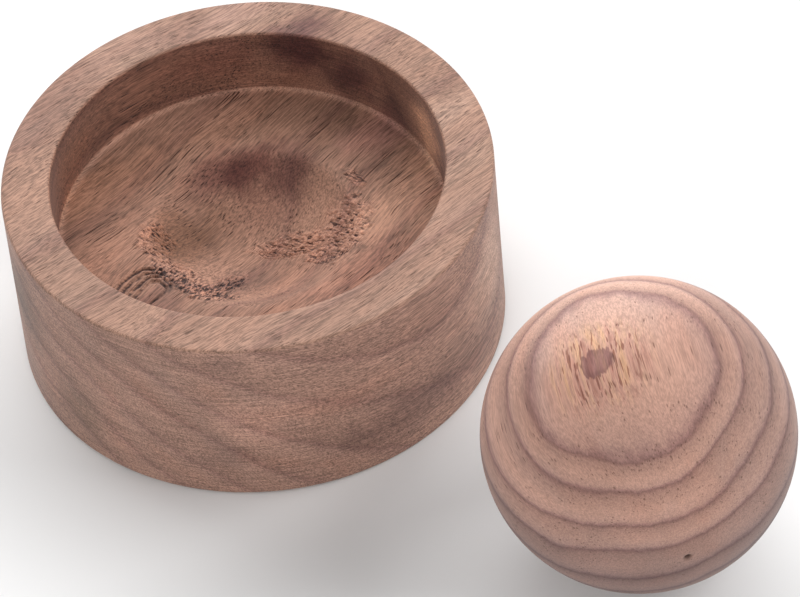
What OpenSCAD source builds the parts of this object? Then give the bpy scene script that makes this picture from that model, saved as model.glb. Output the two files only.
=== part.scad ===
/* [Cup] */
// Outside diameter of the turned cup
cup_dia = 81; // [68:1:110]
// Height of the cup from the table to its flat rim
cup_height = 34; // [28:1:48]
// Thickness of the straight side wall
wall = 8; // [5:0.5:11]
// Depth from the rim down to the flat floor that holds the nut
hollow_depth = 13; // [9:0.5:16]
// Round in the corner where the side wall meets the floor
corner_round = 0.8; // [0.4:0.1:2]

/* [Dish] */
// Diameter of the dish in the middle of the floor
dish_dia = 37.5; // [30:0.5:46]
// Depth of the dish below the floor
dish_depth = 6.5; // [4:0.5:8]
// Round of the shoulder where the floor rolls over into the dish
dish_shoulder = 3.5; // [2:0.5:6]

/* [Edges] */
// Sanded round on both edges of the rim
rim_round = 0.5; // [0.3:0.1:1]
// Sanded round on the bottom edge
foot_round = 0.8; // [0.5:0.1:1.5]

/* [Ball] */
// Diameter of the loose ball
ball_dia = 50; // [40:1:60]
// Open space between the cup and the ball that lies beside it
ball_gap = 16.6; // [8:0.1:40]
// Direction from the cup to the ball, turned from the X axis
ball_side = -45; // [-180:1:180]
// Turn of the carry, from the ball on the table at 0 to the ball in the dish at 180
carry_turn = 0; // [0:1:180]

/* [Hidden] */
$fn = 128;

// Space left between the ball and the dish at the end of the carry
seat_clearance = 0.3;

// Radii from the cup's axis, and heights from the table
cup_r = cup_dia / 2;
hollow_r = cup_r - wall;
dish_r = dish_dia / 2;
floor_z = cup_height - hollow_depth;
dish_bottom_z = floor_z - dish_depth;

// The dish is part of a sphere. Its shoulder is a round that leaves the flat floor at the dish's
// radius and touches the sphere, so the two centres lie the sum of both radii apart.
shoulder_z = floor_z - dish_shoulder;
centres_apart = (dish_r * dish_r + dish_depth * dish_depth) / (2 * dish_depth);
dish_sphere_r = centres_apart - dish_shoulder;
dish_centre_z = dish_bottom_z + dish_sphere_r;
// The circle where the shoulder hands over to the sphere
touch = dish_sphere_r / centres_apart;
touch_r = dish_r * touch;
touch_z = dish_centre_z + (shoulder_z - dish_centre_z) * touch;

// The ball's centre beside the cup
ball_r = ball_dia / 2;
ball_away = cup_r + ball_gap + ball_r;

// The ball's centre in the dish: it rests on the dish's bottom, or on the shoulder if it is
// rounder than the dish is
on_shoulder = ball_r + dish_shoulder;
seat_z = seat_clearance + max(
    dish_bottom_z + ball_r,
    shoulder_z + sqrt(on_shoulder * on_shoulder - dish_r * dish_r)
);

// The axis of the carry is level and lies halfway between the two places of the ball's centre
carry_x = ball_away / 2;
carry_z = (ball_r + seat_z) / 2;

// Half of the disc's section before it is hollowed, with a rounded foot and a rounded rim
module blank_section() {
    square([cup_r - foot_round, cup_height / 2]);
    translate([0, cup_height / 2]) square([cup_r - rim_round, cup_height / 2]);
    translate([0, foot_round]) square([cup_r, cup_height - foot_round - rim_round]);
    translate([cup_r - foot_round, foot_round]) circle(r = foot_round);
    translate([cup_r - rim_round, cup_height - rim_round]) circle(r = rim_round);
}

// The straight-sided hollow, with a round in its corner and a small flare over the rim's edge
module hollow_section() {
    translate([0, floor_z]) square([hollow_r - corner_round, cup_height]);
    translate([0, floor_z + corner_round]) square([hollow_r, cup_height]);
    translate([hollow_r - corner_round, floor_z + corner_round]) circle(r = corner_round);
    difference() {
        translate([0, cup_height - rim_round]) square([hollow_r + rim_round, cup_height]);
        translate([hollow_r + rim_round, cup_height - rim_round]) circle(r = rim_round);
    }
}

// The dish: a cap of the sphere below the touching circle, and the rolled shoulder above it
module dish_section() {
    intersection() {
        translate([0, dish_centre_z]) circle(r = dish_sphere_r);
        square([touch_r, touch_z]);
    }
    difference() {
        translate([0, touch_z]) square([dish_r, cup_height - touch_z]);
        translate([dish_r, shoulder_z]) circle(r = dish_shoulder);
    }
}

module cup() {
    color([0.62, 0.49, 0.43])
        rotate_extrude()
            difference() {
                blank_section();
                hollow_section();
                dish_section();
            }
}

module ball() {
    color([0.72, 0.58, 0.52])
        rotate([0, 0, ball_side])
            translate([carry_x, 0, carry_z])
                rotate([0, -carry_turn, 0])
                    translate([ball_away - carry_x, 0, ball_r - carry_z])
                        sphere(r = ball_r);
}

cup();
ball();
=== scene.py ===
# %% [markdown]
# # A turned walnut nutcracker
# The tool is two pieces of walnut: a thick cup with a dished floor, and a loose ball that a hand
# presses down on the nut. Both shapes are plain turnings, so nearly all of the looks is in the wood:
# growth rings, open pores, and the places where the gouge tore the fibres instead of cutting them.
# The cells go from the frame to the camera, the wood, the cup, its torn fibres, the ball and the light.

# %% Open the shared frame
import math

import bpy
from mathutils import Matrix, Vector


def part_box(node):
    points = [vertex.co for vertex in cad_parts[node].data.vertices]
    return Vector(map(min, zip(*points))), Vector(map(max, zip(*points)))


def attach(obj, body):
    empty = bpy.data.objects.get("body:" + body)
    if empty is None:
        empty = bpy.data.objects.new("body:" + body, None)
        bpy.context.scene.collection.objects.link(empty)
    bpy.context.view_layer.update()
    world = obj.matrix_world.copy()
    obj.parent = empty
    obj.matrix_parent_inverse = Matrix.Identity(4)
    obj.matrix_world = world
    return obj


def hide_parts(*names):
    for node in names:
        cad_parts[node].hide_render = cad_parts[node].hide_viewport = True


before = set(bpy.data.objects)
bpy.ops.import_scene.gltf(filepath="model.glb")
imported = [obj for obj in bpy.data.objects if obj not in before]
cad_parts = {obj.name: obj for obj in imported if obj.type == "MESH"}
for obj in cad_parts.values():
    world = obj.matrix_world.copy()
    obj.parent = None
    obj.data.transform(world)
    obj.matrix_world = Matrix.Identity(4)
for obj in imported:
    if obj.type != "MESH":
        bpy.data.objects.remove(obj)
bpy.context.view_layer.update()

mm = 0.001
cup_low, cup_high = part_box("cup")
ball_low, ball_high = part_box("ball")

# %% [markdown]
# ## The sizes that a turner would note down
# The outside of each piece is read from the frame, so the looks can't drift away from the CAD model.
# The inside of the cup can't be read from a box, so its wall, its depth and its dish are named here
# in the same sizes that the CAD model has.

# %% Sizes of the cup and the ball
cup_r = (cup_high.x - cup_low.x) / 2
cup_h = cup_high.z - cup_low.z
hollow_r = cup_r - 8 * mm
floor_z = cup_h - 13 * mm
dish_r = 18.75 * mm
dish_depth = 6.5 * mm
shoulder = 3.5 * mm
corner_round = 0.8 * mm
rim_round = 0.5 * mm
foot_round = 0.8 * mm
ball_r = (ball_high.z - ball_low.z) / 2
ball_at = (ball_low + ball_high) / 2
print("cup", round(cup_r / mm, 2), "by", round(cup_h / mm, 2), "mm; ball", round(ball_r / mm, 2), "mm")

# %% [markdown]
# ## Camera
# A long lens from far away keeps the cup's circles nearly true ellipses. The camera looks down at a
# little more than 45 degrees, and it is rolled slightly, so that the table's edge would slope. It is
# placed by its angle and its distance from an aim point, because those are easy to picture, and one
# of them can be changed without spoiling the others.

# %% Camera
look_down = math.radians(46.32)
roll = math.radians(-5.66)
distance = 879.6 * mm
aim_right = 22.7 * mm
aim_up = 2.5 * mm

back = Vector((0, -math.cos(look_down), math.sin(look_down)))
level_right = Vector((1, 0, 0))
level_up = back.cross(level_right)
cam_right = level_right * math.cos(roll) + level_up * math.sin(roll)
cam_up = back.cross(cam_right)

camera = bpy.data.objects.new("camera", bpy.data.cameras.new("camera"))
bpy.context.scene.collection.objects.link(camera)
camera.data.lens = 235.3
camera.data.clip_end = 10
turn = Matrix((cam_right, cam_up, back)).transposed()
place = cam_right * aim_right + cam_up * aim_up + back * distance
camera.matrix_world = Matrix.Translation(place) @ turn.to_4x4()
bpy.context.scene.camera = camera
print("camera at", [round(v, 3) for v in place])

# %% [markdown]
# ## Helpers for node trees
# Shader trees and Geometry Nodes trees are both nodes joined by links. `put` adds one node, sets its
# options and fills its inputs, either with a plain value or with a link from another node. `calc` and
# `vec` are the two maths nodes, so that a formula can be read from left to right.

# %% Node helpers
def put(tree, kind, inputs=None, **options):
    node = tree.nodes.new(kind)
    for name, value in options.items():
        setattr(node, name, value)
    for key, value in (inputs or {}).items():
        if isinstance(value, bpy.types.NodeSocket):
            tree.links.new(value, node.inputs[key])
        else:
            node.inputs[key].default_value = value
    return node


def calc(tree, operation, *values, clamp=False):
    node = put(tree, "ShaderNodeMath", dict(enumerate(values)), operation=operation, use_clamp=clamp)
    return node.outputs[0]


def vec(tree, operation, *values):
    node = put(tree, "ShaderNodeVectorMath", dict(enumerate(values)), operation=operation)
    return node.outputs["Value" if operation in ("LENGTH", "DOT_PRODUCT") else "Vector"]


def ease(tree, value, start, end, low=0.0, high=1.0):
    """Runs smoothly from low to high while value goes from start to end."""
    inputs = {"Value": value, "From Min": start, "From Max": end, "To Min": low, "To Max": high}
    return put(tree, "ShaderNodeMapRange", inputs, interpolation_type="SMOOTHSTEP").outputs[0]


def turned_by(tree, place, angle):
    """Turns a place round the Z axis through the origin."""
    inputs = {"Vector": place, "Angle": angle}
    return put(tree, "ShaderNodeVectorRotate", inputs, rotation_type="Z_AXIS").outputs[0]


def noise(tree, place, scale, detail=2.0, rough=0.5, output="Fac"):
    inputs = {"Vector": place, "Scale": scale, "Detail": detail, "Roughness": rough}
    return put(tree, "ShaderNodeTexNoise", inputs, noise_dimensions="3D").outputs[output]


def socket(tree, name, kind, way="INPUT", value=None):
    item = tree.interface.new_socket(name=name, in_out=way, socket_type="NodeSocket" + kind)
    if value is not None:
        item.default_value = value
    return item.identifier


def mix(tree, amount, a, b, blend="MIX"):
    """Mixes two colours by amount. Each is a socket or a plain (red, green, blue)."""
    node = put(tree, "ShaderNodeMix", data_type="RGBA", blend_type=blend)
    for index, value in ((0, amount), (6, a), (7, b)):  # a Mix node's colours are its inputs 6 and 7
        if isinstance(value, bpy.types.NodeSocket):
            tree.links.new(value, node.inputs[index])
        else:
            node.inputs[index].default_value = (*value, 1) if index else value
    return node.outputs[2]


def tint(tree, amount, colour, by):
    """Multiplies a colour by another one, as a stain does to wood. At amount 0 nothing changes."""
    return mix(tree, amount, colour, by, "MULTIPLY")


def ramp(tree, value, stops):
    node = put(tree, "ShaderNodeValToRGB", {"Fac": value})
    elements = node.color_ramp.elements
    while len(elements) < len(stops):
        elements.new(0.5)
    for element, (position, colour) in zip(elements, stops):
        element.position = position
        element.color = (*colour, 1)
    return node.outputs["Color"]


# %% [markdown]
# ## The wood, as a solid
# Walnut is made here the way the tree made it. The pattern is worked out in the whole solid, in
# millimetres with X along the fibres, and the turned surface simply cuts through it. That is why
# one recipe gives long dashes on the rim, dots on the end grain and a bull's eye on the ball.
#
# A ring starts with a dark line and open pores, fades to plain tan, and greys before the next line.
# The group takes the place in the wood and the age within the ring, from 0 to 1.

# %% Colours of walnut
plain_walnut = (0.322, 0.203, 0.158)
one_ring = [  # age within the ring, and the wood's colour there
    (0.00, (0.205, 0.126, 0.103)),
    (0.05, (0.240, 0.148, 0.118)),
    (0.30, (0.305, 0.190, 0.148)),
    (0.60, (0.350, 0.222, 0.172)),
    (0.84, (0.325, 0.208, 0.167)),
    (0.96, (0.260, 0.165, 0.138)),
    (1.00, (0.215, 0.134, 0.112)),
]
ring_line_tint = (0.72, 0.62, 0.68)
greyer, redder = (0.90, 0.97, 1.02), (1.04, 0.93, 0.88)
open_pore = (0.060, 0.028, 0.020)
print("a ring has", len(one_ring), "tones")


# %% Rings and slow drifts of tone
def ringed(tree, age, strength, line):
    """The colour that the rings give, with a darker line where one ring ends and the next starts."""
    plain = mix(tree, strength, plain_walnut, ramp(tree, age, one_ring))
    from_middle = calc(tree, "ABSOLUTE", calc(tree, "SUBTRACT", age, 0.5))
    at_line = ease(tree, from_middle, 0.36, 0.5)
    return tint(tree, calc(tree, "MULTIPLY", at_line, line), plain, ring_line_tint)


def drifted(tree, place, colour):
    """Greyer and redder streaks, drawn out along the fibres, and a slow change of shade."""
    drift = noise(tree, vec(tree, "MULTIPLY", place, (0.03, 0.10, 0.10)), 1.0, 3.0, 0.55, "Color")
    parts = put(tree, "ShaderNodeSeparateColor", {"Color": drift})
    grey = ease(tree, parts.outputs[0], 0.48, 0.72)
    red = ease(tree, parts.outputs[1], 0.50, 0.75)
    shade = ease(tree, parts.outputs[2], 0.30, 0.70, 0.93, 1.06)
    colour = tint(tree, calc(tree, "MULTIPLY", grey, 0.55), colour, greyer)
    colour = tint(tree, calc(tree, "MULTIPLY", red, 0.6), colour, redder)
    return colour, shade


# %% [markdown]
# Pores are the tree's water pipes, cut open. A Voronoi texture puts one point in each cell of a grid,
# and its distance draws a blob round that point. With cells that are long and thin, the blob becomes
# a tube along the fibres, so the same pore is a dash on the rim and a dot on the end grain.

# %% Pores
short_pores = {"per_mm": (0.20, 3.6, 3.6), "radius": 0.22}  # cells to a millimetre; radius in cells
long_pores = {"per_mm": (0.055, 2.1, 2.1), "radius": 0.20}


def pore_layer(tree, place, per_mm, radius, crowd):
    """Tubes along the fibres, one chance in each cell; crowd is how many of the cells hold one."""
    cells = vec(tree, "MULTIPLY", place, per_mm)
    found = put(tree, "ShaderNodeTexVoronoi", {"Vector": cells, "Scale": 1.0, "Randomness": 0.95})
    tube = ease(tree, found.outputs["Distance"], radius * 1.15, radius * 0.8)
    draw = put(tree, "ShaderNodeSeparateColor", {"Color": found.outputs["Color"]}).outputs[0]
    here = calc(tree, "LESS_THAN", draw, crowd)
    return calc(tree, "MULTIPLY", tube, here)


def pores_in(tree, place, age, long_share, width):
    """Short pores everywhere and a few long ones, both crowded where a ring starts."""
    early = ease(tree, age, 0.02, 0.55, 1.0, 0.0)
    slim = calc(tree, "DIVIDE", 1.0, width)
    squeeze = put(tree, "ShaderNodeCombineXYZ", {0: 1.0, 1: slim, 2: slim}).outputs[0]
    packed = vec(tree, "MULTIPLY", place, squeeze)
    crowd = calc(tree, "MULTIPLY_ADD", early, 0.5, 0.22)
    short = pore_layer(tree, packed, crowd=crowd, **short_pores)
    crowd = calc(tree, "MULTIPLY", calc(tree, "MULTIPLY_ADD", early, 1.6, 1.0), long_share)
    long = pore_layer(tree, packed, crowd=crowd, **long_pores)
    return calc(tree, "MAXIMUM", short, long)


print("a short pore is up to", round(2 * short_pores["radius"] / short_pores["per_mm"][0], 1), "mm long")


# %% [markdown]
# The group puts the layers together. Its inputs are what differs between two pieces of the same wood,
# and its outputs are a colour, a roughness and a height for the bump.

# %% Walnut node group
def walnut_group():
    tree = bpy.data.node_groups.new("walnut", "ShaderNodeTree")
    socket(tree, "Place", "Vector")
    socket(tree, "Ring age", "Float")
    socket(tree, "Ring strength", "Float", value=1.0)
    socket(tree, "Ring line", "Float", value=0.3)
    socket(tree, "Pore depth", "Float", value=1.0)
    socket(tree, "Grain", "Float", value=1.0)
    socket(tree, "Pore tone", "Float", value=0.5)
    socket(tree, "Long pores", "Float", value=0.06)
    socket(tree, "Pore width", "Float", value=1.0)
    for name, kind in (("Colour", "Color"), ("Rough", "Float"), ("Height", "Float")):
        socket(tree, name, kind, "OUTPUT")
    given = tree.nodes.new("NodeGroupInput").outputs
    place, age = given["Place"], given["Ring age"]

    plain = ringed(tree, age, given["Ring strength"], given["Ring line"])
    toned, shade = drifted(tree, place, plain)

    # Fine fibres: long hair lines, a few tenths of a millimetre apart
    thick = noise(tree, vec(tree, "MULTIPLY", place, (0.13, 2.3, 2.3)), 1.0, 2.0, 0.6)
    thin = noise(tree, vec(tree, "MULTIPLY", place, (0.24, 5.2, 5.2)), 1.0, 2.0, 0.6)
    hair = calc(tree, "MULTIPLY_ADD", thin, 0.65, calc(tree, "MULTIPLY", thick, 0.35))
    hair_tone = ease(tree, hair, 0.38, 0.62, -0.36, 0.25)
    # Specks: the cut ends of cells, which show as a sparkle on end grain
    speck = noise(tree, vec(tree, "MULTIPLY", place, (0.9, 3.4, 3.4)), 1.0, 2.0, 0.6)
    speck_tone = ease(tree, speck, 0.30, 0.72, -0.13, 0.12)

    pore = pores_in(tree, place, age, given["Long pores"], given["Pore width"])
    fine = calc(tree, "MULTIPLY", calc(tree, "ADD", hair_tone, speck_tone), given["Grain"])
    level = calc(tree, "MULTIPLY", calc(tree, "ADD", fine, 1.0), shade)
    toned = put(tree, "ShaderNodeVectorMath", {0: toned, "Scale": level}, operation="SCALE").outputs[0]
    holes = mix(tree, calc(tree, "MULTIPLY", pore, given["Pore tone"]), toned, open_pore)

    height = calc(tree, "MULTIPLY_ADD", hair, 0.25, calc(tree, "MULTIPLY", speck, 0.12))
    height = calc(tree, "SUBTRACT", height, calc(tree, "MULTIPLY", pore, given["Pore depth"]))
    rough = calc(tree, "MULTIPLY_ADD", pore, 0.2, calc(tree, "MULTIPLY_ADD", hair, 0.2, 0.55))
    put(tree, "NodeGroupOutput", {"Colour": holes, "Rough": rough, "Height": height})
    return tree


walnut = walnut_group()
print("walnut group:", len(walnut.nodes), "nodes")

# %% [markdown]
# ## The cup's blank
# The blank was sawn so that the tree's middle, the pith, lay outside it, low and to the back left.
# So the rings are wide arcs round a line that runs along the fibres. A Mapping node turns the
# piece's own coordinates until X is along the fibres and the unit is a millimetre, and the distance
# from the pith then gives the ring.

# %% A walnut material
def wood_material(name, turn_by, middle, ring_age, strength, bump_mm, marks, spiral=0.0):
    """A walnut material. turn_by lays X along the fibres, with the pattern's origin at middle.
    ring_age and marks are functions that add this piece's own nodes."""
    material = bpy.data.materials.new(name)
    material.use_nodes = True
    tree = material.node_tree
    shader = tree.nodes["Principled BSDF"]
    shader.inputs["Specular IOR Level"].default_value = 0.22
    # Raw wood has a nap of fibre ends, which lightens it where it is seen at a grazing angle
    shader.inputs["Sheen Weight"].default_value = 0.08
    shader.inputs["Sheen Roughness"].default_value = 0.5
    own = put(tree, "ShaderNodeTexCoord")
    fibres = put(tree, "ShaderNodeMapping", {
        "Vector": own.outputs["Object"], "Scale": (1 / mm, 1 / mm, 1 / mm),
        "Rotation": turn_by.to_euler(), "Location": turn_by @ middle / -mm})
    place = fibres.outputs[0]
    if spiral:
        # Spiral grain: the deeper the cut, the more the fibres have turned
        height = put(tree, "ShaderNodeSeparateXYZ", {0: place}).outputs["Z"]
        depth = calc(tree, "SUBTRACT", cup_h / mm, height)
        place = turned_by(tree, place, calc(tree, "MULTIPLY", depth, -spiral))
    # The fibres wander a little on their way
    wander = noise(tree, vec(tree, "MULTIPLY", place, (0.022, 0.03, 0.03)), 1.0, 2.0, 0.5, "Color")
    shift = vec(tree, "MULTIPLY", vec(tree, "SUBTRACT", wander, (0.5, 0.5, 0.5)), (0.0, 9.0, 9.0))
    place = vec(tree, "ADD", place, shift)
    group = put(tree, "ShaderNodeGroup", node_tree=walnut)
    tree.links.new(place, group.inputs["Place"])
    tree.links.new(ring_age(tree, place), group.inputs["Ring age"])
    group.inputs["Ring strength"].default_value = strength
    colour, height = marks(tree, own, place, group)
    bump = put(tree, "ShaderNodeBump", {"Height": height, "Distance": bump_mm * mm, "Strength": 1.0})
    tree.links.new(colour, shader.inputs["Base Color"])
    tree.links.new(group.outputs["Rough"], shader.inputs["Roughness"])
    tree.links.new(bump.outputs[0], shader.inputs["Normal"])
    return material


print("sheen and specular are set on the shader's own sockets")

# %% Rings of the cup
grain_turn = math.radians(35)
pith_across, pith_up = 46.5, -35.0  # mm from the cup's axis, across the fibres and up
first_ring, ring_width = 69.7, 8.75  # mm


def cup_ring_age(tree, place):
    from_pith = vec(tree, "MULTIPLY", vec(tree, "SUBTRACT", place, (0, pith_across, pith_up)), (0, 1, 1))
    past_first = calc(tree, "SUBTRACT", vec(tree, "LENGTH", from_pith), first_ring)
    years = calc(tree, "DIVIDE", past_first, ring_width)
    ragged = noise(tree, vec(tree, "MULTIPLY", place, (0.15, 0.7, 0.7)), 1.0, 3.0, 0.6)
    years = calc(tree, "ADD", years, calc(tree, "MULTIPLY", calc(tree, "SUBTRACT", ragged, 0.5), 0.22))
    return calc(tree, "FRACT", years)


print("rings every", ring_width, "mm, fibres at", round(math.degrees(grain_turn)), "degrees")

# %% [markdown]
# Walnut is seldom one colour. Dark and pale streaks of heartwood lie in it like spindles, along the
# fibres. Each row places one in the blank, and where the surface cuts it, a soft stain shows. They are
# in the solid as well, so a streak that leaves the floor goes on in the wall. Some rows also paint light
# and shade: the dark ones on the hollow's back wall and the dish's back slope add painted shade to darker
# wood there, and the pale ones on the inner right wall and at the floor's back are painted light.

# %% Heartwood streaks, painted light and painted shade in the cup
streaks_and_painted_shading = [  # middle x, y, z, half length along the fibres and half width in mm; then its tint
    (25, -33, 9, 30, 5.5, (0.69, 0.67, 0.69)),
    (-8, -40, 9, 14, 4.0, (0.90, 0.88, 0.88)),
    (-2, -40, 17, 14, 6.0, (1.24, 1.22, 1.22)),
    (-6, -40, 31, 9, 3.0, (0.80, 0.80, 0.82)),
    (-39, -12, 22, 9, 9.0, (0.61, 0.65, 0.66)),
    (-30, -26, 9, 12, 6.0, (0.80, 0.82, 0.80)),
    (38, -13, 20, 12, 9.0, (1.32, 1.44, 1.46)),
    (0, 37, 35, 12, 5.0, (1.34, 1.44, 1.50)),
    (-20, 31, 35, 13, 5.0, (1.28, 1.36, 1.38)),
    (35, 10, 34, 12, 4.0, (1.18, 1.22, 1.24)),
    # The next four rows darken the hollow's back wall: darker wood with painted shade added
    (-3, 33, 29, 20, 5.0, (0.84, 0.76, 0.78)),
    (10, 31, 31, 9, 6.0, (0.38, 0.28, 0.36)),
    (18, 27, 27.5, 9, 6.0, (0.44, 0.35, 0.42)),
    (25, 21, 24, 7, 4.5, (0.54, 0.48, 0.52)),
    # Painted light on the inner right wall
    (30.5, 12, 27, 8, 6.0, (2.60, 2.85, 2.55)),
    (-30, 13, 26, 12, 5.0, (1.24, 1.16, 1.06)),
    # The next three rows darken the dish's back slope: a darker smudge with painted shade added
    (-5, 15, 19.5, 8, 4.5, (0.56, 0.45, 0.48)),
    (1, 15.5, 19.5, 8, 4.5, (0.46, 0.35, 0.38)),
    (7, 13.5, 19, 7, 4.5, (0.50, 0.42, 0.45)),
    (3, 9, 17, 9, 5.0, (0.86, 0.82, 0.84)),
    (-12, 2, 18, 10, 6.0, (0.61, 0.54, 0.46)),
    (10, 4, 17, 7, 4.0, (1.16, 1.18, 1.18)),
    (-2, -8, 15.5, 9, 5.0, (0.70, 0.69, 0.71)),
    (-21, -20, 21, 12, 5.0, (0.80, 0.74, 0.78)),
    (5, -16, 19, 9, 4.0, (0.80, 0.80, 0.82)),
    (18, -12, 20, 14, 5.0, (1.10, 0.98, 0.96)),
    (-24, 12, 21, 18, 6.0, (1.12, 1.06, 0.99)),
    (-24, -1, 21, 12, 5.0, (1.28, 1.25, 1.23)),
    (36, -2, 34, 11, 4.0, (1.10, 1.16, 1.18)),
    # Painted light at the floor's back, where the back wall's shadow falls
    (-4, 27, 21, 14, 5.0, (1.38, 1.38, 1.36)),
    (21, 19, 21, 8, 5.0, (1.28, 1.20, 1.30)),
    (26, 2, 21, 11, 7.0, (1.48, 1.50, 1.47)),
]


def add_streaks_and_painted_shading(tree, own, colour):
    """Heartwood streaks, with painted light and shade in some rows: soft spindles along the fibres that
    darken or warm the wood.
    """
    in_mm = vec(tree, "MULTIPLY", own.outputs["Object"], (1 / mm, 1 / mm, 1 / mm))
    cloud = noise(tree, in_mm, 0.22, 3.0, 0.6)
    for x, y, z, half_length, half_width, tone in streaks_and_painted_shading:
        local = put(tree, "ShaderNodeMapping", {
            "Vector": own.outputs["Object"], "Location": (x * mm, y * mm, z * mm),
            "Rotation": (0, 0, grain_turn), "Scale": (half_length * mm, half_width * mm, half_width * mm)},
            vector_type="TEXTURE").outputs[0]
        reach = calc(tree, "ADD", vec(tree, "LENGTH", local), calc(tree, "MULTIPLY_ADD", cloud, 1.0, -0.5))
        colour = tint(tree, ease(tree, reach, 1.25, 0.25), colour, tone)
    return colour


print(len(streaks_and_painted_shading), "streaks")

# %% [markdown]
# A cutting edge leaves its own colours. Where fibres are torn, short dark gaps lie between pale fibre
# ends, and the colour there also follows the relief: painted shade where the mesh is dug in, painted
# light where it stands up. End grain soaks up more light than long grain, and the sanded outside is paler
# than the inside, which is bare from the tool. The hollow's walls are darker, partly their wood and partly
# painted shade; the ripple valleys carry painted shade, and the cove at the floor's edge a painted
# highlight. The mesh carries where all that is, as attributes from 0 to 1.

# %% What turning does to the colour of the cup, with the light and shade painted into it
outside_tint = (1.06, 0.96, 0.88)
# The hollow's walls are darker partly for their wood and partly with painted shade
floor_tint, hollow_wall_wood_and_shade = (1.06, 0.88, 0.77), (0.66, 0.48, 0.41)
# Painted highlight on the cove where the hollow's wall meets the floor
cove_highlight_tint = (1.14, 1.16, 1.18)
sanded_tint = (1.05, 1.05, 1.10)
end_grain_tint = (0.88, 0.90, 0.91)
# Painted shade in the ripple valleys
ripple_valley_shade = (0.13, 0.09, 0.10)
# Torn wood: pale fibre ends and dark gaps, with painted shade where the surface is dug in and painted light
# where it stands up
torn_tones_and_shade = [
    (0.45, (0.12, 0.08, 0.09)),
    (0.51, (0.52, 0.44, 0.46)),
    (0.56, (0.99, 0.95, 0.96)),
    (0.67, (1.46, 1.40, 1.40)),
]
torn_turns = (math.radians(-38), math.radians(52))


def gaps(tree, place, turn_of_gap):
    """A noise drawn out in one direction, about 1.5 mm long and a quarter of that wide."""
    turned = turned_by(tree, place, -turn_of_gap)
    return noise(tree, vec(tree, "MULTIPLY", turned, (0.60, 2.7, 2.7)), 1.0, 2.0, 0.6)


def mark(tree, name):
    """One of the attributes that the piece's mesh carries."""
    return put(tree, "ShaderNodeAttribute", attribute_name=name).outputs["Fac"]


def torn_gaps(tree, flat_place):
    """The gaps between torn fibres, across the grain at the back and along it at the front, and how
    much they are closed up, because the front ones stand further open."""
    across = gaps(tree, flat_place, torn_turns[0])
    along = gaps(tree, flat_place, torn_turns[1])
    front = ease(tree, put(tree, "ShaderNodeSeparateXYZ", {0: flat_place}).outputs["Y"], -3.0, -8.0)
    gap = calc(tree, "ADD", calc(tree, "MULTIPLY", along, front),
               calc(tree, "MULTIPLY", across, calc(tree, "SUBTRACT", 1.0, front)))
    closed_up = calc(tree, "MULTIPLY_ADD", front, -0.105, 0.055)
    return gap, closed_up


def cup_marks(tree, own, place, group):
    """What the turning did to the wood: the bare inside, end grain, sanding lines, tears and ripples, with
    painted shade on the hollow's walls, in the ripple valleys and in the dug-in torn gaps, and painted light
    on the cove and the raised torn fibres.
    """
    inside = mark(tree, "inside")
    upward = put(tree, "ShaderNodeSeparateXYZ", {0: own.outputs["Normal"]}).outputs["Z"]
    wall = ease(tree, calc(tree, "ABSOLUTE", upward), 0.5, 0.1)
    side = calc(tree, "MULTIPLY", wall, calc(tree, "SUBTRACT", 1.0, inside))
    torn = mark(tree, "torn")
    crumb = mark(tree, "crumb")
    ripple = mark(tree, "ripple")
    corner = mark(tree, "corner")
    tree.links.new(calc(tree, "MULTIPLY_ADD", inside, 0.30, 0.66), group.inputs["Pore tone"])
    tree.links.new(calc(tree, "MULTIPLY_ADD", inside, 0.20, 0.02), group.inputs["Long pores"])
    colour = add_streaks_and_painted_shading(tree, own, group.outputs["Colour"])
    colour = tint(tree, calc(tree, "SUBTRACT", 1.0, inside), colour, outside_tint)
    # Painted shade on the hollow's walls, over their darker wood
    hollow_wood_and_shade = mix(tree, wall, floor_tint, hollow_wall_wood_and_shade)
    colour = tint(tree, inside, colour, hollow_wood_and_shade)
    # Painted highlight along the cove
    colour = tint(tree, calc(tree, "MULTIPLY", corner, 0.8), colour, cove_highlight_tint)
    # The outer wall was sanded finer than the sawn rim, so it is a little paler
    colour = tint(tree, side, colour, sanded_tint)

    facing = vec(tree, "DOT_PRODUCT", own.outputs["Normal"],
                 (math.cos(grain_turn), math.sin(grain_turn), 0.0))
    end_grain = calc(tree, "POWER", calc(tree, "ABSOLUTE", facing), 2.5)
    colour = tint(tree, calc(tree, "MULTIPLY", end_grain, 0.8), colour, end_grain_tint)

    # Sanding lines run round the wall, so they change quickly with height and slowly round the cup
    lines = vec(tree, "MULTIPLY", own.outputs["Object"], (0.10 / mm, 0.10 / mm, 3.6 / mm))
    sanded = noise(tree, lines, 1.0, 3.0, 0.65)
    on_wall = calc(tree, "MULTIPLY", calc(tree, "SUBTRACT", sanded, 0.5), wall)
    line_tone = calc(tree, "MULTIPLY_ADD", on_wall, 1.5, 1.0)
    colour = put(tree, "ShaderNodeVectorMath", {0: colour, "Scale": line_tone}, operation="SCALE").outputs[0]

    flat_place = vec(tree, "MULTIPLY", own.outputs["Object"], (1 / mm, 1 / mm, 0.4 / mm))
    gap, closed_up = torn_gaps(tree, flat_place)
    # The torn colour follows the relief: painted shade in the dug-in gaps, painted light on the raised fibres
    lifted = calc(tree, "ADD", calc(tree, "MULTIPLY_ADD", crumb, 0.16, gap), closed_up)
    torn_tone_and_shade = ramp(tree, lifted, torn_tones_and_shade)
    colour = tint(tree, torn, colour, torn_tone_and_shade)
    # Painted shade in the ripple valleys
    colour = tint(tree, ripple, colour, ripple_valley_shade)
    height = calc(tree, "ADD", group.outputs["Height"], calc(tree, "MULTIPLY", sanded, 0.2))
    height = calc(tree, "ADD", height, calc(tree, "MULTIPLY", calc(tree, "MULTIPLY", gap, torn), 3.5))
    return colour, height


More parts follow.
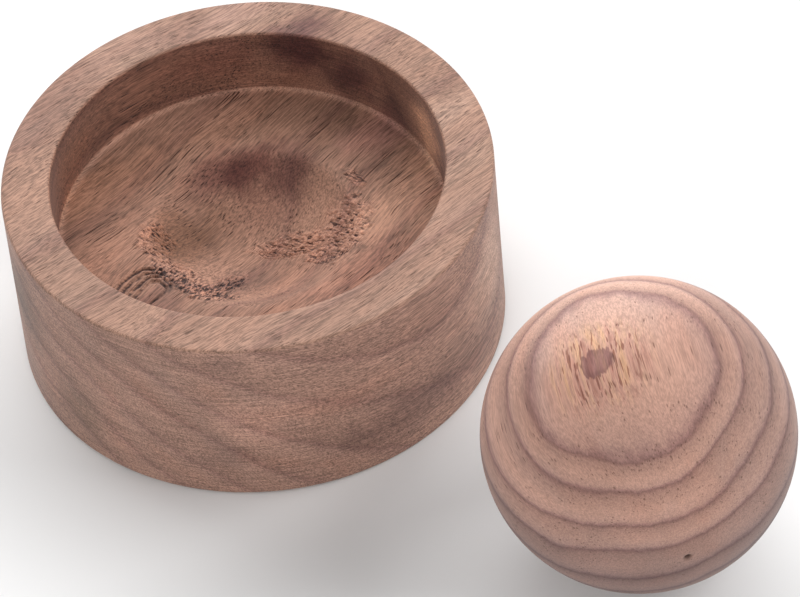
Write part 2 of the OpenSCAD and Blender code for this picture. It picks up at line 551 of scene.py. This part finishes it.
# %% Wood of the cup
along_cup_fibres = Matrix.Rotation(-grain_turn, 3, "Z")
spiral_per_mm = math.radians(0.9)
cup_wood = wood_material(
    "cup walnut", along_cup_fibres, Vector(), cup_ring_age, 0.42, 0.10, cup_marks, spiral_per_mm)
print("cup wood ready")

# %% [markdown]
# ## The cup
# A cup like this is turned: one section, spun round one axis. Spin could do it, but here the wood
# also has to be torn in places, so the whole turning is a Geometry Nodes tree. The script draws the
# half section as a line of points, with true arcs for the rounds. The tree spins it on a grid, and
# then pushes the surface in or out where the gouge tore or rippled it.

# %% The cup's half section
def straight(start, end, steps):
    """Points from start towards end, closer together next to both ends, without the end itself."""
    points = []
    for step in range(steps):
        share = (1 - math.cos(math.pi * step / steps)) / 2
        points.append((start[0] + (end[0] - start[0]) * share, start[1] + (end[1] - start[1]) * share))
    return points


def even(start, end, steps):
    return [tuple(a + (b - a) * step / steps for a, b in zip(start, end)) for step in range(steps)]


def arc(centre, radius, start, end, steps):
    turns = [math.radians(start + (end - start) * step / steps) for step in range(steps)]
    return [(centre[0] + radius * math.cos(t), centre[1] + radius * math.sin(t)) for t in turns]


centres_apart = (dish_r ** 2 + dish_depth ** 2) / (2 * dish_depth)
dish_sphere_r = centres_apart - shoulder
dish_centre_z = floor_z - dish_depth + dish_sphere_r
lean = math.degrees(math.asin(dish_r / centres_apart))

section = [
    # The underside, the foot, the outer wall and the rim
    *straight((0, 0), (cup_r - foot_round, 0), 5),
    *arc((cup_r - foot_round, foot_round), foot_round, -90, 0, 4),
    *straight((cup_r, foot_round), (cup_r, cup_h - rim_round), 8),
    *arc((cup_r - rim_round, cup_h - rim_round), rim_round, 0, 90, 4),
    *straight((cup_r - rim_round, cup_h), (hollow_r + rim_round, cup_h), 5),
    # The hollow's wall
    *arc((hollow_r + rim_round, cup_h - rim_round), rim_round, 90, 180, 4),
    *straight((hollow_r, cup_h - rim_round), (hollow_r, floor_z + corner_round), 5),
    # The corner, the floor and the dish, with the most points where the wood is torn
    *arc((hollow_r - corner_round, floor_z + corner_round), corner_round, 0, -90, 4),
    *even((hollow_r - corner_round, floor_z), (dish_r, floor_z), 50),
    *arc((dish_r, floor_z - shoulder), shoulder, 90, 90 + lean, 9),
    *arc((0, dish_centre_z), dish_sphere_r, lean - 90, -90, 70),
    (0, dish_centre_z - dish_sphere_r),
]
print("section:", len(section), "points; the dish's sphere is", round(dish_sphere_r / mm, 2), "mm")

# %% [markdown]
# The gouge tears the fibres where it meets them end on, which in a dish is on the two slopes that
# face along the grain. Each torn patch is an oval on the plan of the cup: its middle, its two half
# sizes and its turn. On the floor beside them the tool chattered, and left ripples round one point.

# %% Where the wood is torn and rippled
torn_patches = [  # middle x, middle y, half length, half width in mm, turn in degrees
    (-16.4, -0.4, 5.2, 3.6, 82),
    (-13.4, -7.6, 6.2, 4.0, -46),
    (-8.6, -12.0, 6.4, 4.2, -14),
    (-4.6, -7.6, 4.4, 2.2, 38),
    (6.0, 0.2, 8.0, 3.2, -6),
    (14.6, -1.2, 8.2, 5.0, 74),
    (11.0, -4.6, 4.6, 2.4, -40),
    (17.2, 9.0, 3.6, 1.4, -58),
]
ripple_middle = (-16.8, -12.4)
ripple_turn = math.radians(46)
ripple_reach = (0.9, 6.6)
ripple_step = 1.15


def torn_mask(tree, place):
    """1 in the torn patches, 0 outside, with a ragged edge; place is in millimetres."""
    edge = noise(tree, place, 0.55, 3.0, 0.6)
    strongest = None
    for x, y, half_length, half_width, turned in torn_patches:
        local = vec(tree, "SUBTRACT", place, (x, y, 0))
        local = turned_by(tree, local, math.radians(-turned))
        oval = vec(tree, "LENGTH", vec(tree, "MULTIPLY", local, (1 / half_length, 1 / half_width, 0)))
        ragged = calc(tree, "ADD", oval, calc(tree, "MULTIPLY_ADD", edge, 1.1, -0.55))
        patch = ease(tree, ragged, 1.05, 0.55)
        strongest = calc(tree, "MAXIMUM", strongest, patch) if strongest else patch
    return strongest


# %% [markdown]
# The tree does the turning and the cutting in one go. It numbers the points of a flat grid, takes each
# point's radius and height from the section and its turn round the axis from its column, and merges
# the seam and the two poles. A grid made this way has its faces inside out, so they are flipped before
# anything is pushed along the normals: the cutter digs into the wood, and never adds to it much.

# %% Ripples
def ripples(tree, place):
    """Each ripple runs straight along the fibres, turns round the middle, and stops on the far side."""
    from_middle = turned_by(tree, vec(tree, "SUBTRACT", place, (*ripple_middle, 0)), -ripple_turn)
    nose = put(tree, "ShaderNodeSeparateXYZ", {0: from_middle})
    ahead = calc(tree, "MULTIPLY", calc(tree, "MAXIMUM", nose.outputs["X"], 0.0), 1.1)
    left = calc(tree, "MAXIMUM", nose.outputs["Y"], calc(tree, "MULTIPLY", nose.outputs["Y"], -1.3))
    reach = vec(tree, "LENGTH", put(tree, "ShaderNodeCombineXYZ", {0: ahead, 1: left}).outputs[0])
    sway = noise(tree, place, 0.30, 3.0, 0.6)
    reach = calc(tree, "ADD", reach, calc(tree, "MULTIPLY_ADD", sway, 2.0, -1.0))
    wave = calc(tree, "SINE", calc(tree, "MULTIPLY", reach, 2 * math.pi / ripple_step))
    near = ease(tree, reach, ripple_reach[0], ripple_reach[0] + 0.8)
    far = ease(tree, reach, ripple_reach[1], ripple_reach[1] - 0.6)
    one_side = ease(tree, nose.outputs["Y"], -2.6, -1.0)
    return wave, calc(tree, "MULTIPLY", calc(tree, "MULTIPLY", near, far), one_side)


# %% Geometry Nodes tree that turns the cup
def turning_tree():
    tree = bpy.data.node_groups.new("turned cup", "GeometryNodeTree")
    socket(tree, "Section", "Geometry")
    names = {"around": socket(tree, "Steps around", "Int", value=580),
             "rows": socket(tree, "Section points", "Int", value=len(section)),
             "tear": socket(tree, "Tear depth", "Float", value=0.3 * mm),
             "ripple": socket(tree, "Ripple depth", "Float", value=0.2 * mm),
             "wood": socket(tree, "Wood", "Material")}
    socket(tree, "Geometry", "Geometry", "OUTPUT")
    given = tree.nodes.new("NodeGroupInput").outputs

    # Spin: every grid point takes its radius and height from the section, and its turn from its column
    columns = calc(tree, "ADD", given["Steps around"], 1)
    grid = put(tree, "GeometryNodeMeshGrid", {"Vertices X": given["Section points"], "Vertices Y": columns})
    index = put(tree, "GeometryNodeInputIndex").outputs[0]
    row = calc(tree, "FLOOR", calc(tree, "DIVIDE", calc(tree, "ADD", index, 0.5), columns))
    column = calc(tree, "SUBTRACT", index, calc(tree, "MULTIPLY", row, columns))
    spot = put(tree, "GeometryNodeInputPosition").outputs[0]
    on_section = put(tree, "GeometryNodeSampleIndex", {"Geometry": given["Section"], "Index": row},
                     data_type="FLOAT_VECTOR", clamp=True)
    tree.links.new(spot, on_section.inputs["Value"])
    turned = calc(tree, "DIVIDE", calc(tree, "MULTIPLY", column, 2 * math.pi), given["Steps around"])
    spun = turned_by(tree, on_section.outputs[0], turned)
    shaped = put(tree, "GeometryNodeSetPosition", {"Geometry": grid.outputs[0], "Position": spun})
    merged = put(tree, "GeometryNodeMergeByDistance", {"Geometry": shaped.outputs[0], "Distance": 0.001 * mm})
    closed = put(tree, "GeometryNodeFlipFaces", {"Mesh": merged.outputs[0]})

    # Only the dish and the floor are worked; the underside has the same plan, so height rules it out
    place = vec(tree, "MULTIPLY", spot, (1 / mm, 1 / mm, 1 / mm))
    parts = put(tree, "ShaderNodeSeparateXYZ", {0: place})
    above_core = ease(tree, parts.outputs["Z"], 5.0, 6.0)
    below_wall = ease(tree, parts.outputs["Z"], floor_z / mm + 1.2, floor_z / mm + 0.4)
    plan_r = vec(tree, "LENGTH", vec(tree, "MULTIPLY", place, (1, 1, 0)))
    within = ease(tree, plan_r, hollow_r / mm + 0.35, hollow_r / mm + 0.15)
    inside = calc(tree, "MULTIPLY", calc(tree, "MULTIPLY", above_core, below_wall), within)
    torn = calc(tree, "MULTIPLY", torn_mask(tree, place), inside)
    crumbs = turned_by(tree, place, math.radians(12))
    crumb = noise(tree, vec(tree, "MULTIPLY", crumbs, (0.75, 1.5, 1.5)), 1.0, 3.0, 0.65)
    crumb = ease(tree, crumb, 0.32, 0.68)

    wave, rippled = ripples(tree, place)
    flat = ease(tree, plan_r, 16.2, 17.8)
    rippled = calc(tree, "MULTIPLY", calc(tree, "MULTIPLY", rippled, flat), inside)

    dig = calc(tree, "MULTIPLY", calc(tree, "MULTIPLY", torn, given["Tear depth"]),
               calc(tree, "MULTIPLY_ADD", crumb, 1.5, -1.1))
    chatter = calc(tree, "MULTIPLY", calc(tree, "MULTIPLY", rippled, given["Ripple depth"]),
                   calc(tree, "SUBTRACT", wave, 1))
    push = calc(tree, "ADD", dig, chatter)
    normal = put(tree, "GeometryNodeInputNormal").outputs[0]
    offset = put(tree, "ShaderNodeVectorMath", {0: normal, "Scale": push}, operation="SCALE").outputs[0]
    last = closed.outputs[0]
    # The ripples' valleys are marked for painted shade
    faint = ease(tree, noise(tree, place, 0.60, 2.0, 0.5), 0.31, 0.46)
    valley_shade = calc(tree, "MULTIPLY", calc(tree, "MULTIPLY", rippled, faint), ease(tree, wave, 0.15, -0.60))
    bare = calc(tree, "MULTIPLY", above_core, within)
    # Where the cove gets its painted highlight
    low = ease(tree, parts.outputs["Z"], floor_z / mm + 1.1, floor_z / mm + 0.6)
    corner = calc(tree, "MULTIPLY", calc(tree, "MULTIPLY", low, above_core),
                  ease(tree, plan_r, (hollow_r - corner_round) / mm - 0.5, (hollow_r - corner_round) / mm))
    corner = calc(tree, "MULTIPLY", corner, within)
    carried = {"torn": torn, "crumb": crumb, "ripple": valley_shade, "inside": bare, "corner": corner}
    for name, value in carried.items():
        last = put(tree, "GeometryNodeStoreNamedAttribute",
                   {"Geometry": last, "Name": name, "Value": value}, domain="POINT").outputs[0]
    last = put(tree, "GeometryNodeSetPosition", {"Geometry": last, "Offset": offset}).outputs[0]
    last = put(tree, "GeometryNodeSetShadeSmooth", {"Geometry": last}).outputs[0]
    last = put(tree, "GeometryNodeRealizeInstances", {"Geometry": last}).outputs[0]
    last = put(tree, "GeometryNodeSetMaterial", {"Geometry": last, "Material": given["Wood"]}).outputs[0]
    put(tree, "NodeGroupOutput", {"Geometry": last})
    return tree, names


# %% [markdown]
# A modifier keeps its tree alive, but a finished piece should be a plain mesh that anyone can open. So
# each tree runs once, its result becomes the piece's own mesh, and the modifier goes. The volume is a
# good check on the way: it comes out negative if the faces look inwards, and it should agree with the
# CAD model's volume but for the torn wood.

# %% From a tree to a plain mesh
def finish_nodes(piece, tree, settings):
    """Runs the tree on the piece once, and keeps the result as a plain mesh."""
    modifier = piece.modifiers.new("made", "NODES")
    modifier.node_group = tree
    for identifier, value in settings.items():
        modifier[identifier] = value
    graph = bpy.context.evaluated_depsgraph_get()
    made = bpy.data.meshes.new_from_object(
        piece.evaluated_get(graph), preserve_all_data_layers=True, depsgraph=graph)
    made.name = piece.name
    piece.modifiers.clear()
    piece.data = made
    return piece


def outward(piece):
    """Turns the faces outward if the closed mesh came out inside out."""
    mesh = piece.data
    mesh.calc_loop_triangles()
    volume = sum(
        mesh.vertices[a].co.dot(mesh.vertices[b].co.cross(mesh.vertices[c].co))
        for a, b, c in (triangle.vertices for triangle in mesh.loop_triangles)) / 6
    if volume < 0:
        mesh.flip_normals()
    return abs(volume)


# %% [markdown]
# Now the cup itself. The half section goes in as a line of points in the XZ plane, the tree spins it,
# and the finished mesh takes the place of the plain cup in the frame.

# %% Turn the cup
line = bpy.data.meshes.new("cup section")
line.from_pydata([(r, 0, z) for r, z in section], [(i, i + 1) for i in range(len(section) - 1)], [])
cup = bpy.data.objects.new("walnut_cup", line)
bpy.context.scene.collection.objects.link(cup)
turned_cup, cup_inputs = turning_tree()
finish_nodes(cup, turned_cup, {cup_inputs["wood"]: cup_wood})
cup_volume = outward(cup)
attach(cup, "cup")
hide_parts("cup")
print("cup:", len(cup.data.polygons), "faces,", round(cup_volume / mm ** 3), "cubic mm")

# %% [markdown]
# ## The ball's wood
# The ball was turned from another billet, with the rings lying nearly level. Level rings cut by a ball
# are circles round its top, so it shows a bull's eye. The rings were not equally wide, so a curve gives
# how many years lie above each depth. At the top the gouge just reached an older ring, which shows as a
# small dark eye, and low on one side a knot of pores left a pit.

# %% How the ball lies in its billet
ring_axis = Vector((-0.148, -0.185, 0.971)).normalized()
ball_fibres = Vector((0.166, -0.963, -0.212))
ball_fibres = (ball_fibres - ring_axis * ball_fibres.dot(ring_axis)).normalized()  # level in the rings
eye_way = Vector((-0.229, -0.219, 0.949)).normalized()
pit_way = Vector((0.202, -0.975, -0.088)).normalized()
ring_depths = [5.2, 8.5, 14.6, 20.2, 27.0, 32.5, 39.5, 45.0]  # mm below the top, one for each new ring
first_age = 0.45
most_years = 10.0
along_ball_fibres = Matrix((ball_fibres, ring_axis.cross(ball_fibres), ring_axis))
print(len(ring_depths), "rings lie across the ball")


# %% Rings of the ball
def ball_ring_age(tree, place):
    height = put(tree, "ShaderNodeSeparateXYZ", {0: place}).outputs["Z"]
    depth = calc(tree, "DIVIDE", calc(tree, "SUBTRACT", ball_r / mm, height), 2 * ball_r / mm)
    counted = put(tree, "ShaderNodeFloatCurve", {"Value": depth})
    points = counted.mapping.curves[0].points
    points[0].location = (0.0, first_age / most_years)
    points[1].location = (1.0, (len(ring_depths) + 0.8) / most_years)
    for year, ring_depth in enumerate(ring_depths, start=1):
        points.new(ring_depth * mm / (2 * ball_r), year / most_years)
    for point in points:
        point.handle_type = "VECTOR"
    counted.mapping.update()
    years = calc(tree, "MULTIPLY", counted.outputs[0], most_years)
    ragged = noise(tree, vec(tree, "MULTIPLY", place, (0.2, 0.8, 0.8)), 1.0, 3.0, 0.6)
    years = calc(tree, "ADD", years, calc(tree, "MULTIPLY", calc(tree, "SUBTRACT", ragged, 0.5), 0.16))
    bends = noise(tree, vec(tree, "MULTIPLY", place, (0.05, 0.09, 0.09)), 1.0, 2.0, 0.5)
    years = calc(tree, "ADD", years, calc(tree, "MULTIPLY", calc(tree, "SUBTRACT", bends, 0.5), 0.4))
    return calc(tree, "FRACT", years)


# %% [markdown]
# The ball's wood is paler and pinker than the cup's, with fainter grain and wider pores. It is lightest
# at the top, partly paler wood and partly painted light, and grows darker and greyer towards the table
# and on the right side, which is painted shade. The eye is a small patch of the older ring, with a
# ragged edge, because the ring meets the surface at a very flat angle there.

# %% What the ball's colour does from place to place
ball_grain = {"Pore tone": 0.5, "Long pores": 0.03, "Grain": 0.5, "Ring line": 0.6, "Pore width": 1.7}
ball_tint = (1.40, 1.27, 1.25)
# Painted light over paler wood at the top; painted shade low down and on the right side
top_light_and_paler_wood, low_painted_shade, right_painted_shade = (1.36, 1.46, 1.50), (0.54, 0.58, 0.64), (0.76, 0.80, 0.84)
eye_tint, eye_edge_tint = (0.60, 0.54, 0.62), (0.86, 0.84, 0.84)
vessel_tint, pit_tint = (0.52, 0.40, 0.38), (0.16, 0.12, 0.10)
streak_tones = [
    (0.34, (0.84, 0.70, 0.68)),
    (0.46, (0.98, 0.92, 0.92)),
    (0.56, (1.06, 1.05, 0.95)),
    (0.66, (1.12, 1.10, 0.88)),
]


def ball_marks(tree, own, place, group):
    for name, value in ball_grain.items():
        group.inputs[name].default_value = value
    # Places on the ball, in radii from its middle: X to the right, Z up, Y to the back
    way = put(tree, "ShaderNodeVectorMath", {
        0: vec(tree, "SUBTRACT", own.outputs["Object"], tuple(ball_at)), "Scale": 1 / ball_r},
        operation="SCALE").outputs[0]
    sides = put(tree, "ShaderNodeSeparateXYZ", {0: way})
    # Painted light on the top, over paler wood, and painted shade on the underside and the right side
    lit_paler_top = ease(tree, vec(tree, "DOT_PRODUCT", way, (-0.2, 0.45, 0.87)), 0.70, 1.0)
    shaded_low = ease(tree, sides.outputs["Z"], 0.40, -0.35)
    right = ease(tree, sides.outputs["X"], 0.2, 0.9)
    colour = tint(tree, 1.0, group.outputs["Colour"], ball_tint)
    colour = tint(tree, lit_paler_top, colour, top_light_and_paler_wood)
    colour = tint(tree, shaded_low, colour, low_painted_shade)
    colour = tint(tree, right, colour, right_painted_shade)

    # Round the eye the cut runs along the fibres, so yellow and red streaks lie open there
    from_eye = vec(tree, "SUBTRACT", place, tuple(along_ball_fibres @ eye_way * (ball_r / mm)))
    eye_oval = vec(tree, "LENGTH", vec(tree, "MULTIPLY", from_eye, (0.10, 0.085, 0.10)))
    around_eye = ease(tree, eye_oval, 1.0, 0.45)
    streaks = noise(tree, vec(tree, "MULTIPLY", place, (0.05, 0.75, 0.75)), 1.0, 3.0, 0.6)
    colour = tint(tree, around_eye, colour, ramp(tree, streaks, streak_tones))
    serrated = noise(tree, vec(tree, "MULTIPLY", place, (0.25, 1.3, 1.3)), 1.0, 2.0, 0.6)
    reach = vec(tree, "LENGTH", vec(tree, "MULTIPLY", from_eye, (1 / 2.3, 1 / 3.3, 1 / 3.3)))
    reach = calc(tree, "ADD", reach, calc(tree, "MULTIPLY_ADD", serrated, 1.2, -0.6))
    eye = ease(tree, reach, 1.06, 0.90)
    vessels = noise(tree, vec(tree, "MULTIPLY", place, (0.22, 2.4, 2.4)), 1.0, 1.0, 0.5)
    vessel = calc(tree, "MULTIPLY", ease(tree, vessels, 0.58, 0.66),
                  calc(tree, "MULTIPLY", around_eye, calc(tree, "SUBTRACT", 1.0, eye)))
    colour = tint(tree, vessel, colour, vessel_tint)
    colour = tint(tree, eye, colour, eye_tint)
    edge = calc(tree, "MULTIPLY", eye, ease(tree, reach, 0.45, 0.85))
    colour = tint(tree, edge, colour, eye_edge_tint)
    colour = tint(tree, mark(tree, "pit"), colour, pit_tint)
    return colour, group.outputs["Height"]


# %% Wood of the ball
ball_wood = wood_material("ball walnut", along_ball_fibres, ball_at, ball_ring_age, 1.0, 0.05, ball_marks)
print("ball wood ready")

# %% [markdown]
# ## The ball
# A plain UV sphere crowds its faces at two poles, and the crowding shows under a low light. So the
# ball starts as a fine cube, and every point is pushed out to the ball's radius. The fibres stand up
# by a few hundredths of a millimetre, and one pit is pressed into the side.

# %% Geometry Nodes tree that makes the ball
def ball_tree():
    tree = bpy.data.node_groups.new("turned ball", "GeometryNodeTree")
    socket(tree, "Start", "Geometry")
    names = {"radius": socket(tree, "Radius", "Float", value=ball_r),
             "centre": socket(tree, "Centre", "Vector"),
             "fine": socket(tree, "Points along an edge", "Int", value=120),
             "pit": socket(tree, "Pit depth", "Float", value=0.5 * mm),
             "wood": socket(tree, "Wood", "Material")}
    socket(tree, "Geometry", "Geometry", "OUTPUT")
    given = tree.nodes.new("NodeGroupInput").outputs
    fine = given["Points along an edge"]
    cube = put(tree, "GeometryNodeMeshCube", {
        "Size": (2, 2, 2), "Vertices X": fine, "Vertices Y": fine, "Vertices Z": fine})
    spot = put(tree, "GeometryNodeInputPosition").outputs[0]
    # The tangent spreads the points evenly, because a cube's corners are further out than its faces
    evened = vec(tree, "TANGENT", vec(tree, "MULTIPLY", spot, (math.pi / 4,) * 3))
    way = vec(tree, "NORMALIZE", evened)
    from_pit = vec(tree, "LENGTH", vec(tree, "SUBTRACT", way, tuple(pit_way)))
    rugged = noise(tree, vec(tree, "MULTIPLY", way, (90, 90, 90)), 1.0, 2.0, 0.6)
    from_pit = calc(tree, "MULTIPLY_ADD", calc(tree, "SUBTRACT", rugged, 0.5), 0.03, from_pit)
    pit = ease(tree, from_pit, 0.034, 0.012)
    fibre = noise(tree, vec(tree, "MULTIPLY", way, (36, 7, 36)), 1.0, 3.0, 0.6)
    lift = calc(tree, "MULTIPLY_ADD", calc(tree, "SUBTRACT", fibre, 1.0), 0.03 * mm,
                calc(tree, "MULTIPLY", pit, calc(tree, "MULTIPLY", given["Pit depth"], -1.0)))
    reach = calc(tree, "ADD", given["Radius"], lift)
    out = put(tree, "ShaderNodeVectorMath", {0: way, "Scale": reach}, operation="SCALE").outputs[0]
    last = put(tree, "GeometryNodeStoreNamedAttribute", {
        "Geometry": cube.outputs["Mesh"], "Name": "pit", "Value": pit}, domain="POINT").outputs[0]
    last = put(tree, "GeometryNodeSetPosition", {
        "Geometry": last, "Position": vec(tree, "ADD", out, given["Centre"])}).outputs[0]
    last = put(tree, "GeometryNodeSetShadeSmooth", {"Geometry": last}).outputs[0]
    last = put(tree, "GeometryNodeRealizeInstances", {"Geometry": last}).outputs[0]
    last = put(tree, "GeometryNodeSetMaterial", {"Geometry": last, "Material": given["Wood"]}).outputs[0]
    put(tree, "NodeGroupOutput", {"Geometry": last})
    return tree, names


# %% [markdown]
# The ball is made at its resting place beside the cup, so its wood is worked out there too. When the
# ball is carried, the pattern goes with it, because it reads the ball's own coordinates.

# %% Make the ball
ball = bpy.data.objects.new("walnut_ball", bpy.data.meshes.new("ball start"))
bpy.context.scene.collection.objects.link(ball)
made_ball, ball_inputs = ball_tree()
finish_nodes(ball, made_ball, {ball_inputs["wood"]: ball_wood, ball_inputs["centre"]: tuple(ball_at)})
ball_volume = outward(ball)
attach(ball, "ball")
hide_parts("ball")
print("ball:", len(ball.data.polygons), "faces,", round(ball_volume / mm ** 3), "cubic mm")

# %% [markdown]
# ## Floor
# A plain pale floor shows where the pieces stand by their soft shadows. It is far larger than they are,
# so its edge never comes into view. It isn't a part of the tool.

# %% Floor
floor_material = bpy.data.materials.new("pale floor")
floor_material.use_nodes = True
floor_shader = floor_material.node_tree.nodes["Principled BSDF"]
floor_shader.inputs["Base Color"].default_value = (0.80, 0.80, 0.80, 1)
floor_shader.inputs["Roughness"].default_value = 0.9
floor_mesh = bpy.data.meshes.new("floor")
half = 4.0  # metres
corners = [(-half, -half, 0), (half, -half, 0), (half, half, 0), (-half, half, 0)]
floor_mesh.from_pydata(corners, [], [(0, 1, 2, 3)])
floor = bpy.data.objects.new("floor", floor_mesh)
floor_mesh.materials.append(floor_material)
bpy.context.scene.collection.objects.link(floor)
print("floor", 2 * half, "m across")

# %% [markdown]
# ## Light
# Most of the light comes from a wide window high at the back. It brightens the rim and the ball's top
# and leaves the hollow's back wall in shade, which with the painted shade in the wood there makes the
# hollow look deep. A lamp on the right, a weaker one in front and a faint one on the left keep the sides
# readable, and a dim white surround fills what is left.

# %% Light
lit_spot = Vector((0.02, -0.02, 0.02))  # between the cup and the ball


def lamp(name, place, width, height, power):
    data = bpy.data.lights.new(name, "AREA")
    data.shape = "RECTANGLE"
    data.size = width
    data.size_y = height
    data.energy = power
    lit = bpy.data.objects.new(name, data)
    lit.location = place
    lit.rotation_euler = (lit_spot - Vector(place)).to_track_quat("-Z", "Y").to_euler()
    bpy.context.scene.collection.objects.link(lit)


lamp("back window", (-0.15, 2.1, 1.65), 4.4, 1.6, 112)
lamp("right", (1.9, 0.0, 1.5), 1.6, 1.4, 34)
lamp("left", (-2.2, 0.0, 1.3), 1.4, 1.4, 7)
lamp("front", (-0.4, -2.0, 1.1), 1.8, 1.4, 26)
world = bpy.data.worlds.new("tent")
world.use_nodes = True
surround = world.node_tree.nodes["Background"]
surround.inputs["Color"].default_value = (1, 1, 1, 1)
surround.inputs["Strength"].default_value = 0.2
bpy.context.scene.world = world
bpy.context.scene.view_settings.view_transform = "Standard"
print("four lamps and a dim surround")
